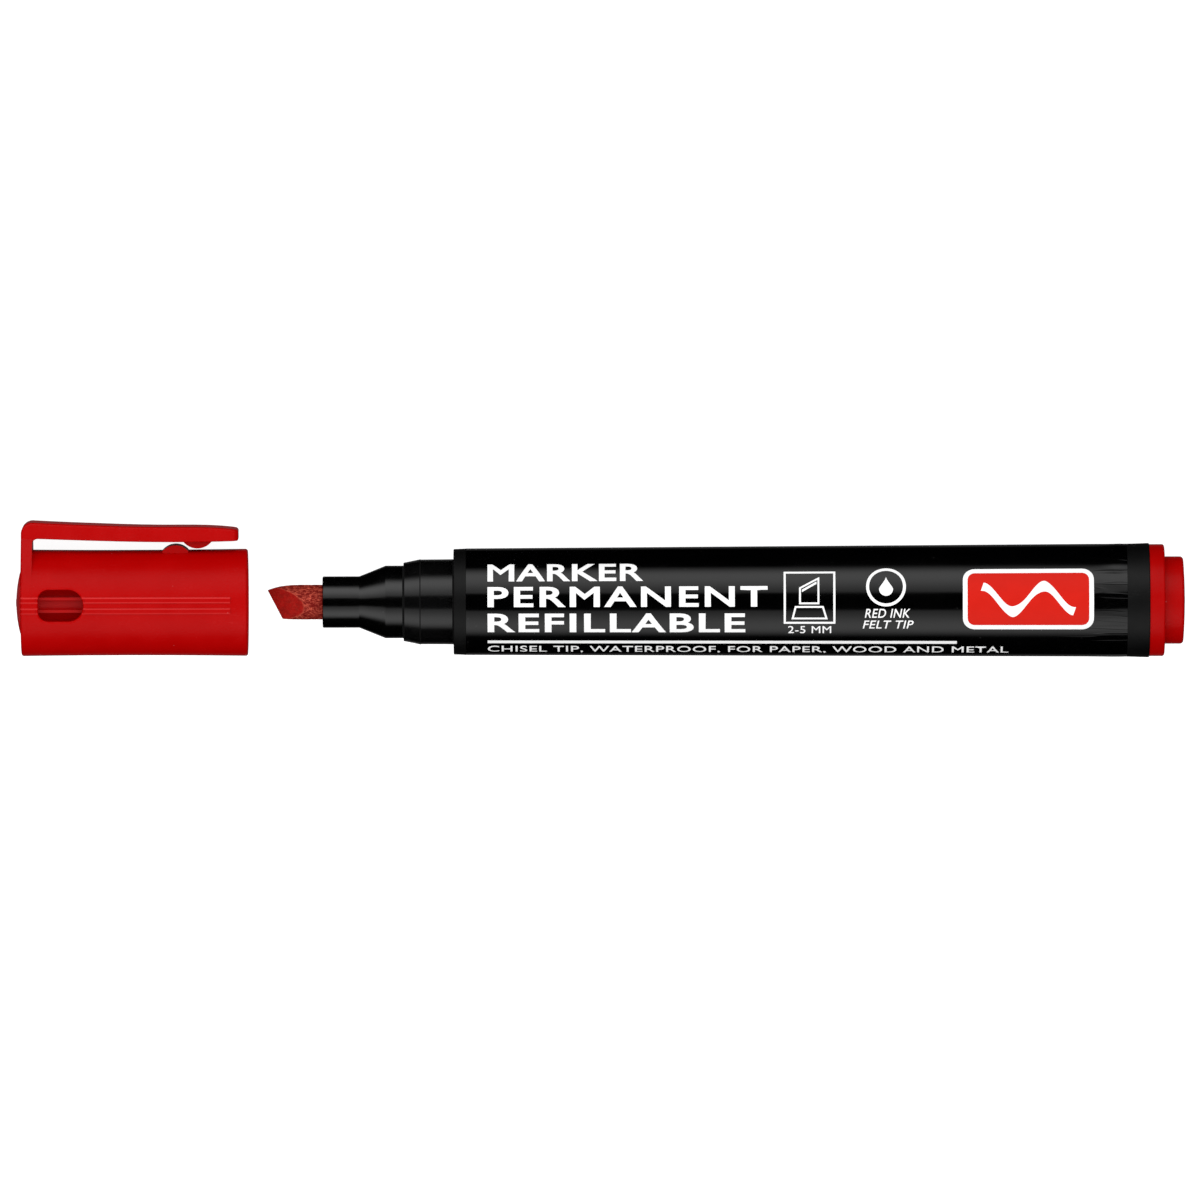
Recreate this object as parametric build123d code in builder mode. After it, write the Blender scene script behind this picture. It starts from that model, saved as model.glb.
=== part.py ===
from build123d import *
import os

# A refillable felt tip marker lying along X, tail towards +X, with its cap drawn off over the nib.
# All sizes are in millimetres. Every piece is drawn with the clip straight up over the marker's axis.
# It is then turned about that axis, because a marker on a desk rolls until its clip touches the desk.
# As it lies, X = 0 and Y = 0 are the middle of its length and width, and Z = 0 is the desk.

# ---- stations along the marker, measured from the barrel's front shoulder, + towards the tail ----
nib_upper_tip_s = -26.7
nib_lower_tip_s = -24.55
holder_front_s = -18.8
holder_cone_start_s = -13.53
holder_cone_end_s = -9.76
collar_front_s = -7.17
lip_s = -4.74
label_start_s = 1.78
label_end_s = 96.56
rear_band_s = 99.5
barrel_end_s = 99.8
flange_end_s = 101.95
button_edge_s = 104.65
tail_s = 104.9

# ---- stations along the cap, measured from its closed end face, + towards its mouth ----
cap_length = 32.5
cap_mouth_s = -29.5
crown_height = 0.75
cap_end_wall = 1.3
mouth_bore_start_c = 25.0
inner_cap_rim_c = 18.7
clip_split_c = 3.5
clip_tip_c = 31.15

# ---- radii ----
nib_r = 2.5
holder_tube_r = 3.69
holder_flange_r = 5.205
stem_r = 4.95
collar_front_r = 5.63
lip_r = 6.13
collar_r = 6.115
collar_neck_r = 6.085
shoulder_r = 7.57
label_front_r = 7.64
label_rear_r = 8.105
barrel_r = 8.2
front_bore_r = 6.4
rear_bore_r = 6.75
socket_r = 6.9
skirt_r = 6.85
flange_r = 8.03
button_r = 6.27
reservoir_r = 5.9
cap_end_r = 7.65
cap_waist_r = 7.56
cap_mouth_r = 7.69
cap_bore_r = 6.3
mouth_bore_r = 6.2
inner_cap_r = 4.4
inner_cap_bore_r = 3.75

# ---- wall thicknesses and small features ----
film = 0.1
clip_width = 6.6
post_thickness = 1.62
rib_height = 0.13
side_rib_z = 0.78
side_rib_width = 0.7
rib_root_depth = 0.15

overall_length = cap_length + crown_height - cap_mouth_s + tail_s
shoulder_x = overall_length / 2 - tail_s
cap_x = shoulder_x + cap_mouth_s - cap_length
axis_z = barrel_r
axis_y = -1.851
clip_roll = 114.0

# Side view planes: local x runs along the marker and local y is the height above its axis.
along_marker = Plane(origin=(shoulder_x, 0, axis_z), x_dir=(1, 0, 0), z_dir=(0, -1, 0))
along_cap = Plane(origin=(cap_x, 0, axis_z), x_dir=(1, 0, 0), z_dir=(0, -1, 0))
marker_axis = Axis((shoulder_x, 0, axis_z), (1, 0, 0))


def across_marker(s):
    """End view plane at station s of the marker: local x is +Y and local y is +Z."""
    return Plane(origin=(shoulder_x + s, 0, axis_z), x_dir=(0, 1, 0), z_dir=(1, 0, 0))


def across_cap(c):
    """End view plane at station c of the cap: local x is +Y and local y is +Z."""
    return Plane(origin=(cap_x + c, 0, axis_z), x_dir=(0, 1, 0), z_dir=(1, 0, 0))


def rings(part, x, radius):
    """The circular edges of a part that lie at x and have the given radius."""
    circles = part.edges().filter_by(GeomType.CIRCLE)
    return [e for e in circles if abs(e.arc_center.X - x) < 0.01 and abs(e.radius - radius) < 0.01]


def lying(part, label):
    """The named part as it lies on the desk, turned about the marker's axis until the clip is down."""
    placed = part.rotate(marker_axis, -clip_roll).translate((0, axis_y, 0))
    placed.label = label
    return placed


os.makedirs("parts", exist_ok=True)

# ---------------------------------------------------------------------------------------------
# Barrel: one black moulding with a snap collar in front, a tapered body and a recess for the label.
# ---------------------------------------------------------------------------------------------
collar_bore_end_s = 1.5
socket_start_s = 90.0
bay_rib_top_r = 6.05
bay_rib_root_r = rear_bore_r + rib_root_depth
bay_rib_count = 6
bay_rib_width = 0.8
bay_rib_length = 58.0
shoulder_edge_radius = 0.15
rear_edge_radius = 0.2

with BuildPart() as barrel:
    with BuildSketch(along_marker):
        with BuildLine():
            Polyline(
                (collar_front_s, stem_r),
                (collar_front_s, collar_front_r),
                (lip_s, lip_r),
                (lip_s, collar_neck_r),
                (0, collar_r),
                (0, shoulder_r),
                (label_start_s, label_front_r),
                (label_start_s, label_front_r - film),
                (label_end_s, label_rear_r - film),
                (label_end_s, label_rear_r),
                (rear_band_s, barrel_r),
                (barrel_end_s, barrel_r),
                (barrel_end_s, socket_r),
                (socket_start_s, socket_r),
                (socket_start_s, rear_bore_r),
                (collar_bore_end_s, front_bore_r),
                (collar_bore_end_s, stem_r),
                close=True,
            )
        make_face()
    revolve(axis=marker_axis)
    # Long ribs inside the bay keep the reservoir central and let air pass round it.
    with BuildSketch(across_marker(collar_bore_end_s)):
        with PolarLocations((bay_rib_top_r + bay_rib_root_r) / 2, bay_rib_count):
            Rectangle(bay_rib_root_r - bay_rib_top_r, bay_rib_width)
    extrude(amount=bay_rib_length)
    fillet(rings(barrel.part, shoulder_x, shoulder_r), radius=shoulder_edge_radius)
    fillet(rings(barrel.part, shoulder_x + barrel_end_s, barrel_r), radius=rear_edge_radius)

export_step(lying(barrel.part, "barrel"), "parts/barrel.step")

# Label sleeve: a thin printed film that lies flush in the barrel's recess.
with BuildPart() as label_sleeve:
    with BuildSketch(along_marker):
        with BuildLine():
            Polyline(
                (label_start_s, label_front_r - film),
                (label_start_s, label_front_r),
                (label_end_s, label_rear_r),
                (label_end_s, label_rear_r - film),
                close=True,
            )
        make_face()
    revolve(axis=marker_axis)

export_step(lying(label_sleeve.part, "label_sleeve"), "parts/label_sleeve.step")

# ---------------------------------------------------------------------------------------------
# Nib holder: a stepped nose with a stem pressed into the collar and six ribs that grip the nib.
# ---------------------------------------------------------------------------------------------
holder_bore_r = 2.85
holder_rear_s = 2.0
grip_rib_start_s = -18.2
grip_rib_count = 6
grip_rib_width = 0.6
grip_rib_top_r = nib_r + 0.01
grip_rib_root_r = holder_bore_r + rib_root_depth
nose_edge_radius = 0.2

with BuildPart() as nib_holder:
    with BuildSketch(along_marker):
        with BuildLine():
            Polyline(
                (holder_front_s, holder_bore_r),
                (holder_front_s, holder_tube_r),
                (holder_cone_start_s, holder_tube_r),
                (holder_cone_end_s, holder_flange_r),
                (collar_front_s, holder_flange_r),
                (collar_front_s, stem_r),
                (holder_rear_s, stem_r),
                (holder_rear_s, holder_bore_r),
                close=True,
            )
        make_face()
    revolve(axis=marker_axis)
    with BuildSketch(across_marker(grip_rib_start_s)):
        with PolarLocations((grip_rib_top_r + grip_rib_root_r) / 2, grip_rib_count):
            Rectangle(grip_rib_root_r - grip_rib_top_r, grip_rib_width)
    extrude(amount=holder_rear_s - grip_rib_start_s)
    fillet(rings(nib_holder.part, shoulder_x + holder_front_s, holder_tube_r), radius=nose_edge_radius)

export_step(lying(nib_holder.part, "nib_holder"), "parts/nib_holder.step")

# ---------------------------------------------------------------------------------------------
# Nib: a pressed felt rod with a slanted chisel end and a tapered tail that reaches the reservoir.
# ---------------------------------------------------------------------------------------------
nib_tail_taper_s = 3.0
nib_rear_s = 8.0
nib_rear_r = 1.7
chisel_land = 0.2
chisel_slope = 0.59
chisel_reach = 9.0
upper_tip_z = 1.75
lower_tip_z = -2.4
top_relief_s = -22.0
lower_relief_s = -22.5

# The chisel's edge runs from the lower tip to the upper tip, and its faces open away from it.
edge_rise = upper_tip_z - lower_tip_z
edge_run = nib_upper_tip_s - nib_lower_tip_s
chisel_plane = Plane(
    origin=(shoulder_x + nib_lower_tip_s, 0, axis_z + lower_tip_z),
    x_dir=(edge_rise, 0, -edge_run),
    z_dir=(edge_run, 0, edge_rise),
)

with BuildPart() as nib:
    with BuildSketch(along_marker):
        with BuildLine():
            Polyline(
                (nib_upper_tip_s, 0),
                (nib_upper_tip_s, nib_r),
                (nib_tail_taper_s, nib_r),
                (nib_rear_s, nib_rear_r),
                (nib_rear_s, 0),
                close=True,
            )
        make_face()
    revolve(axis=marker_axis)
    with BuildSketch(along_marker):
        with BuildLine():
            TangentArc((top_relief_s, nib_r), (nib_upper_tip_s, upper_tip_z), tangent=(-1, 0))
            Polyline(
                (nib_upper_tip_s, upper_tip_z),
                (nib_lower_tip_s, lower_tip_z),
                (lower_relief_s, -nib_r),
                (nib_rear_s, -nib_r),
                (nib_rear_s, nib_r),
                (top_relief_s, nib_r),
            )
        make_face()
    extrude(amount=nib_r, both=True, mode=Mode.INTERSECT)
    with BuildSketch(chisel_plane):
        with BuildLine():
            Polyline(
                (0, chisel_land),
                (0, -chisel_land),
                (chisel_reach, -chisel_land - chisel_slope * chisel_reach),
                (nib_rear_s - nib_lower_tip_s + chisel_reach, -chisel_land - chisel_slope * chisel_reach),
                (nib_rear_s - nib_lower_tip_s + chisel_reach, chisel_land + chisel_slope * chisel_reach),
                (chisel_reach, chisel_land + chisel_slope * chisel_reach),
                close=True,
            )
        make_face()
    extrude(amount=nib_rear_s - nib_upper_tip_s, both=True, mode=Mode.INTERSECT)

export_step(lying(nib.part, "nib"), "parts/nib.step")

# ---------------------------------------------------------------------------------------------
# Ink reservoir: a rod of ink-soaked fibre with a socket for the nib's tail, in a film wrap.
# ---------------------------------------------------------------------------------------------
reservoir_front_s = 4.5
reservoir_rear_s = 86.0
nib_socket_depth = 4.0
nib_socket_r = nib_r + 0.05

with BuildPart() as ink_reservoir:
    with BuildSketch(across_marker(reservoir_front_s)):
        Circle(reservoir_r)
    extrude(amount=reservoir_rear_s - reservoir_front_s)
    with BuildSketch(across_marker(reservoir_front_s)):
        Circle(nib_socket_r)
    extrude(amount=nib_socket_depth, mode=Mode.SUBTRACT)

export_step(lying(ink_reservoir.part, "ink_reservoir"), "parts/ink_reservoir.step")

with BuildPart() as reservoir_wrap:
    with BuildSketch(across_marker(reservoir_front_s)):
        Circle(reservoir_r + film)
        Circle(reservoir_r, mode=Mode.SUBTRACT)
    extrude(amount=reservoir_rear_s - reservoir_front_s)

export_step(lying(reservoir_wrap.part, "reservoir_wrap"), "parts/reservoir_wrap.step")

# ---------------------------------------------------------------------------------------------
# End plug: a red push-in plug with a hollow skirt, and fins that hold the reservoir forward.
# ---------------------------------------------------------------------------------------------
skirt_front_s = 92.0
skirt_lead_end_s = 92.8
skirt_lead_r = 6.6
skirt_bore_end_s = 100.8
skirt_bore_r = 5.75
button_bore_r = 4.9
button_floor_s = 103.5
button_edge_radius = 0.5
dome_middle_s = 104.84
flange_edge_radius = 0.35
fin_front_s = reservoir_rear_s + 0.3
fin_rear_s = button_floor_s + 0.3
fin_reach = 5.4
fin_thickness = 1.0

with BuildPart() as end_plug:
    with BuildSketch(along_marker):
        with BuildLine():
            Polyline(
                (button_floor_s, 0),
                (button_floor_s, button_bore_r),
                (skirt_bore_end_s, button_bore_r),
                (skirt_bore_end_s, skirt_bore_r),
                (skirt_front_s, skirt_bore_r),
                (skirt_front_s, skirt_lead_r),
                (skirt_lead_end_s, skirt_r),
                (barrel_end_s, skirt_r),
                (barrel_end_s, flange_r),
                (flange_end_s, flange_r),
                (flange_end_s, button_r),
                (button_edge_s, button_r),
            )
            ThreePointArc((button_edge_s, button_r), (dome_middle_s, button_r / 2), (tail_s, 0))
            Line((tail_s, 0), (button_floor_s, 0))
        make_face()
    revolve(axis=marker_axis)
    with BuildSketch(across_marker(fin_front_s)):
        Rectangle(2 * fin_reach, fin_thickness)
        Rectangle(fin_thickness, 2 * fin_reach)
    extrude(amount=fin_rear_s - fin_front_s)
    fillet(rings(end_plug.part, shoulder_x + button_edge_s, button_r), radius=button_edge_radius)
    fillet(rings(end_plug.part, shoulder_x + flange_end_s, flange_r), radius=flange_edge_radius)

export_step(lying(end_plug.part, "end_plug"), "parts/end_plug.step")

# ---------------------------------------------------------------------------------------------
# Clip: moulded in one with the cap. Its post and root stay with the shell, and the arm flexes.
# ---------------------------------------------------------------------------------------------
clip_top_z = 11.7
clip_outer_radius = 1.6
clip_inner_radius = 0.8
clip_root_under_z = 9.36
clip_tip_top_z = 10.62
clip_tip_under_z = 9.0
clip_tip_corner = 1.0
post_foot_z = 7.0
clip_edge_radius = 0.4
under_edge_radius = 0.2
bump_width = 4.6
bump_start_c = 23.2
bump_middle_c = 25.3
bump_end_c = 27.4
bump_low_z = 7.89
bump_root_z = 8.95

# The arm's top and underside in side view, each as (station along the cap, height above the axis).
clip_top_line = [
    (clip_outer_radius, clip_top_z),
    (12.8, 11.21),
    (20.0, 11.03),
    (28.0, 10.92),
    (clip_tip_c, clip_tip_top_z),
]
clip_under_line = [
    (clip_tip_c, clip_tip_under_z),
    (27.0, 8.89),
    (19.0, 8.87),
    (12.8, 9.0),
    (post_thickness + clip_inner_radius, clip_root_under_z),
]


def is_clip_rim(edge):
    """True for the clip's long edges and its tip's edges, and false for seams between its faces."""
    middle = edge.center()
    across = abs(middle.Y) < 0.01
    at_tip = middle.X > cap_x + clip_tip_c - 0.05
    upright_at_tip = edge.bounding_box().size.Z > 1.0 and middle.X > cap_x + clip_tip_c - 2
    return (at_tip or not across) and not upright_at_tip


def is_on_outer_side(edge):
    """True for an edge of the clip's top or of its post's outer face."""
    middle = edge.center()
    return middle.Z > axis_z + 10.3 or middle.X < cap_x + 0.1


def is_on_under_side(edge):
    """True for an edge of the clip's underside, but not of its post."""
    middle = edge.center()
    return middle.Z < axis_z + 9.5 and middle.X > cap_x + post_thickness + 0.1


with BuildPart() as clip_blank:
    with BuildSketch(along_cap):
        with BuildLine():
            Line((0, post_foot_z), (0, clip_top_z - clip_outer_radius))
            RadiusArc(
                (0, clip_top_z - clip_outer_radius), (clip_outer_radius, clip_top_z), clip_outer_radius
            )
            Spline(clip_top_line)
            Line((clip_tip_c, clip_tip_top_z), (clip_tip_c, clip_tip_under_z))
            Spline(clip_under_line)
            RadiusArc(
                (post_thickness + clip_inner_radius, clip_root_under_z),
                (post_thickness, clip_root_under_z - clip_inner_radius),
                -clip_inner_radius,
            )
            Line((post_thickness, clip_root_under_z - clip_inner_radius), (post_thickness, post_foot_z))
            Line((post_thickness, post_foot_z), (0, post_foot_z))
        make_face()
    extrude(amount=clip_width / 2, both=True)
    tip_corners = clip_blank.edges().filter_by(Axis.Z).group_by(Axis.X)[-1]
    fillet(tip_corners, radius=clip_tip_corner)
    outer_edges = clip_blank.edges().filter_by(is_clip_rim).filter_by(is_on_outer_side)
    fillet(outer_edges, radius=clip_edge_radius)
    under_edges = clip_blank.edges().filter_by(is_clip_rim).filter_by(is_on_under_side)
    fillet(under_edges, radius=under_edge_radius)
    # A bump under the arm, set back from its sides, grips the cloth of a pocket.
    with BuildSketch(along_cap):
        with BuildLine():
            ThreePointArc((bump_start_c, bump_root_z), (bump_middle_c, bump_low_z), (bump_end_c, bump_root_z))
            Line((bump_end_c, bump_root_z), (bump_start_c, bump_root_z))
        make_face()
    extrude(amount=bump_width / 2, both=True)

with BuildPart() as clip_root:
    add(clip_blank.part)
    split(bisect_by=Plane.YZ.offset(cap_x + clip_split_c), keep=Keep.BOTTOM)

with BuildPart() as clip_arm:
    add(clip_blank.part)
    split(bisect_by=Plane.YZ.offset(cap_x + clip_split_c), keep=Keep.TOP)

export_step(lying(clip_arm.part, "clip_arm"), "parts/clip_arm.step")

# ---------------------------------------------------------------------------------------------
# Cap shell: a red cup with the clip's post, side ribs, two vent windows and a bump under the clip.
# ---------------------------------------------------------------------------------------------
groove_start_c = 27.6
groove_end_c = 28.4
groove_depth = 0.12
groove_ramp = 0.2
mouth_lead = 0.3
mouth_bore_ramp = 0.4
rib_start_c = 0.3
rib_end_c = 30.1
rib_end_height = 0.08
rib_inner_depth = 0.5
window_start_c = 2.5
window_end_c = 9.0
window_height = 4.53
window_front_radius = 1.5
window_rear_radius = 2.2
window_edge_radius = 0.25
window_rim_least_r = 7.3
rib_gap = 0.35
end_edge_radius = 0.35
shell_bump_start_c = 20.3
shell_bump_middle_c = 22.15
shell_bump_end_c = 24.0
shell_bump_top_z = 8.35
shell_bump_edge_z = cap_waist_r - 0.05
shell_bump_root_z = cap_waist_r - 0.7
flare_bore_r = cap_bore_r + 0.6


def window_outline(margin):
    """A vent window's outline on the marker's middle plane, grown all round by a margin."""
    with BuildSketch(Plane.XZ) as outline:
        with Locations((cap_x + (window_start_c + window_end_c) / 2, axis_z)):
            Rectangle(window_end_c - window_start_c + 2 * margin, window_height + 2 * margin)
        fillet(outline.vertices().group_by(Axis.X)[0], radius=window_front_radius + margin)
        fillet(outline.vertices().group_by(Axis.X)[-1], radius=window_rear_radius + margin)
    return outline.sketch


def distance_from_axis(edge):
    """How far the middle of an edge lies from the marker's axis."""
    return Vector(0, edge.center().Y, edge.center().Z - axis_z).length


window = window_outline(0)
window_surround = window_outline(rib_gap)

# Ribs along both sides: a thin band round the cap, cut down to two strips on each side that stop
# short of the windows.
with BuildPart() as side_ribs:
    with BuildSketch(along_cap):
        with BuildLine():
            Polyline(
                (rib_start_c, cap_end_r - rib_inner_depth),
                (rib_start_c, cap_end_r + rib_end_height),
                (cap_length / 2, cap_waist_r + rib_height),
                (rib_end_c, cap_mouth_r + rib_end_height),
                (rib_end_c, cap_waist_r - rib_inner_depth),
                close=True,
            )
        make_face()
    revolve(axis=marker_axis)
    with BuildSketch(across_cap(0)):
        with Locations((0, side_rib_z), (0, -side_rib_z)):
            Rectangle(4 * cap_mouth_r, side_rib_width)
    extrude(amount=cap_length, mode=Mode.INTERSECT)
    extrude(window_surround, amount=2 * cap_mouth_r, both=True, mode=Mode.SUBTRACT)


def is_outer_end_edge(edge):
    """True for the edges of the cap's end face that lie on its outer rim, above the middle."""
    return edge.center().Z > axis_z + 0.5 and distance_from_axis(edge) > cap_bore_r + 0.8


# The post's sides run down as tangents to the shell, so it widens into the cap's end.
with BuildPart() as post_flare:
    with BuildSketch(across_cap(0)):
        with BuildLine() as flare_outline:
            CenterArc((0, 0), cap_end_r, 0, 180)
            Line((-clip_width / 2, clip_root_under_z), (clip_width / 2, clip_root_under_z))
        make_hull(flare_outline.edges())
        Circle(flare_bore_r, mode=Mode.SUBTRACT)
    extrude(amount=post_thickness)
    end_edges = post_flare.faces().sort_by(Axis.X)[0].edges()
    fillet(end_edges.filter_by(is_outer_end_edge), radius=end_edge_radius)

with BuildPart() as cap_shell:
    with BuildSketch(along_cap):
        with BuildLine():
            Spline((0, cap_end_r), (cap_length / 2, cap_waist_r), (cap_length, cap_mouth_r))
            Polyline(
                (cap_length, cap_mouth_r),
                (cap_length, mouth_bore_r + mouth_lead),
                (cap_length - mouth_lead, mouth_bore_r),
                (groove_end_c, mouth_bore_r),
                (groove_end_c - groove_ramp, mouth_bore_r + groove_depth),
                (groove_start_c + groove_ramp, mouth_bore_r + groove_depth),
                (groove_start_c, mouth_bore_r),
                (mouth_bore_start_c, mouth_bore_r),
                (mouth_bore_start_c - mouth_bore_ramp, cap_bore_r),
                (cap_end_wall, cap_bore_r),
                (cap_end_wall, inner_cap_r),
                (0, inner_cap_r),
                (0, cap_end_r),
            )
        make_face()
    revolve(axis=marker_axis)
    fillet(rings(cap_shell.part, cap_x + cap_length, cap_mouth_r), radius=end_edge_radius)
    fillet(rings(cap_shell.part, cap_x, cap_end_r), radius=end_edge_radius)
    extrude(window, amount=2 * cap_mouth_r, both=True, mode=Mode.SUBTRACT)
    cut_edges = cap_shell.edges(Select.LAST)
    window_edges = cut_edges.filter_by(lambda e: distance_from_axis(e) > window_rim_least_r)
    fillet(window_edges, radius=window_edge_radius)
    add(post_flare.part)
    add(clip_root.part)
    with BuildSketch(along_cap):
        with BuildLine():
            ThreePointArc(
                (shell_bump_start_c, shell_bump_edge_z),
                (shell_bump_middle_c, shell_bump_top_z),
                (shell_bump_end_c, shell_bump_edge_z),
            )
            Polyline(
                (shell_bump_end_c, shell_bump_edge_z),
                (shell_bump_end_c, shell_bump_root_z),
                (shell_bump_start_c, shell_bump_root_z),
                (shell_bump_start_c, shell_bump_edge_z),
            )
        make_face()
    extrude(amount=bump_width / 2, both=True)
    add(side_ribs.part)

export_step(lying(cap_shell.part, "cap_shell"), "parts/cap_shell.step")

# ---------------------------------------------------------------------------------------------
# Inner cap: a cup pressed through the shell's end wall, which seals on the nib holder's tube.
# ---------------------------------------------------------------------------------------------
crown_step = 0.2
crown_middle_c = -0.62
inner_cap_floor_c = 1.2
rim_lead_length = 0.4
rim_lead_r = inner_cap_bore_r + 0.2
fin_half_pitch = 0.9
inner_fin_width = 0.4
inner_fin_reach = 5.4
inner_fin_root_r = inner_cap_bore_r + 0.3
inner_fin_middle_r = (inner_fin_root_r + inner_fin_reach) / 2
inner_fin_end_c = 15.0

with BuildPart() as inner_cap:
    with BuildSketch(along_cap):
        with BuildLine():
            ThreePointArc((-crown_height, 0), (crown_middle_c, inner_cap_r / 2), (-crown_step, inner_cap_r))
            Polyline(
                (-crown_step, inner_cap_r),
                (inner_cap_rim_c, inner_cap_r),
                (inner_cap_rim_c, rim_lead_r),
                (inner_cap_rim_c - rim_lead_length, inner_cap_bore_r),
                (inner_cap_floor_c, inner_cap_bore_r),
                (inner_cap_floor_c, 0),
                (-crown_height, 0),
            )
        make_face()
    revolve(axis=marker_axis)
    with BuildSketch(across_cap(cap_end_wall)):
        with PolarLocations(0, 4):
            with Locations((inner_fin_middle_r, fin_half_pitch), (inner_fin_middle_r, -fin_half_pitch)):
                Rectangle(inner_fin_reach - inner_fin_root_r, inner_fin_width)
    extrude(amount=inner_fin_end_c - cap_end_wall)

export_step(lying(inner_cap.part, "inner_cap"), "parts/inner_cap.step")
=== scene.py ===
"""A felt tip marker with its cap drawn off: its finishes, prints and studio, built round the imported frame."""
import logging
import math
from collections.abc import Callable
from dataclasses import dataclass
from enum import Enum
from typing import Any

import bmesh
import bpy
from mathutils import Matrix, Vector, noise


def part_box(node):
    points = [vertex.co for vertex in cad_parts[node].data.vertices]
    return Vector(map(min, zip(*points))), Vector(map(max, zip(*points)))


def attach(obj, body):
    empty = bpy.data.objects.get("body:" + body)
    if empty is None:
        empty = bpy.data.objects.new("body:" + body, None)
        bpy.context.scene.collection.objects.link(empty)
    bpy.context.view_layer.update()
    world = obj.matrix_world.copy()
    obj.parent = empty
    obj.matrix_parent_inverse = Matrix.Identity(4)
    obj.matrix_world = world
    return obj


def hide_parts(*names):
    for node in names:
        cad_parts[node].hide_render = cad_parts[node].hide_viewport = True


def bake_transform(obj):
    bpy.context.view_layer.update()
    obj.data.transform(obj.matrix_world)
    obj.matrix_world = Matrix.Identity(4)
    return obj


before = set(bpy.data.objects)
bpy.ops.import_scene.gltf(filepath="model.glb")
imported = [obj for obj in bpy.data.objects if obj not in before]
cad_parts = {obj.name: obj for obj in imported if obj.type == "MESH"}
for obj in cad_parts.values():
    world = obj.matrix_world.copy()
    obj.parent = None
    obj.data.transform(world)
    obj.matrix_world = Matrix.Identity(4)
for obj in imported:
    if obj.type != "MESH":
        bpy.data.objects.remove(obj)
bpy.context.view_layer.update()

log = logging.getLogger("marker")

MM = 0.001
Color = tuple[float, float, float]
Socket = bpy.types.NodeSocket
FULL_TURN = 2.0 * math.pi


# ---------------------------------------------------------------------------------------------
# Where things are
# ---------------------------------------------------------------------------------------------


@dataclass(frozen=True)
class Lie:
    """How the marker lies: where its axis is, and how far it is rolled over onto its clip.

    Pieces are drawn upright, with X along the marker, the clip straight up (+Z) and the axis at
    Y = Z = 0. place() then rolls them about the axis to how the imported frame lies.
    """

    shoulder_x: float
    cap_x: float
    axis_y: float
    axis_z: float
    clip_roll: float = math.radians(114.0)

    @classmethod
    def read(cls) -> "Lie":
        """Reads the axis, the barrel's shoulder and the cap's closed end from the frame.

        Returns:
            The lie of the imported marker.
        """
        collar_length = 7.17 * MM
        barrel_low, barrel_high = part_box("barrel")
        cap_low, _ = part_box("cap_shell")
        middle = (barrel_low + barrel_high) / 2
        return cls(barrel_low.x + collar_length, cap_low.x, middle.y, middle.z)

    def place(self) -> Matrix:
        """The matrix that takes an upright drawing to the row frame."""
        return Matrix.Translation((0.0, self.axis_y, self.axis_z)) @ Matrix.Rotation(-self.clip_roll, 4, "X")

    def point(self, x: float, y: float, z: float) -> Vector:
        """An upright point, in metres, in the row frame."""
        return self.place() @ Vector((x, y, z))

    def direction(self, x: float, y: float, z: float) -> Vector:
        """An upright direction in the row frame."""
        return Matrix.Rotation(-self.clip_roll, 3, "X") @ Vector((x, y, z))

    def along(self, station_mm: float) -> float:
        """The X of a station in millimetres behind the barrel's shoulder."""
        return self.shoulder_x + station_mm * MM


class Body(Enum):
    """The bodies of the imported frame."""

    MARKER = "marker"
    CAP = "cap"
    CLIP = "clip"
    PLUG = "plug"


# ---------------------------------------------------------------------------------------------
# Shader tools and shared effects
# ---------------------------------------------------------------------------------------------


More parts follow.
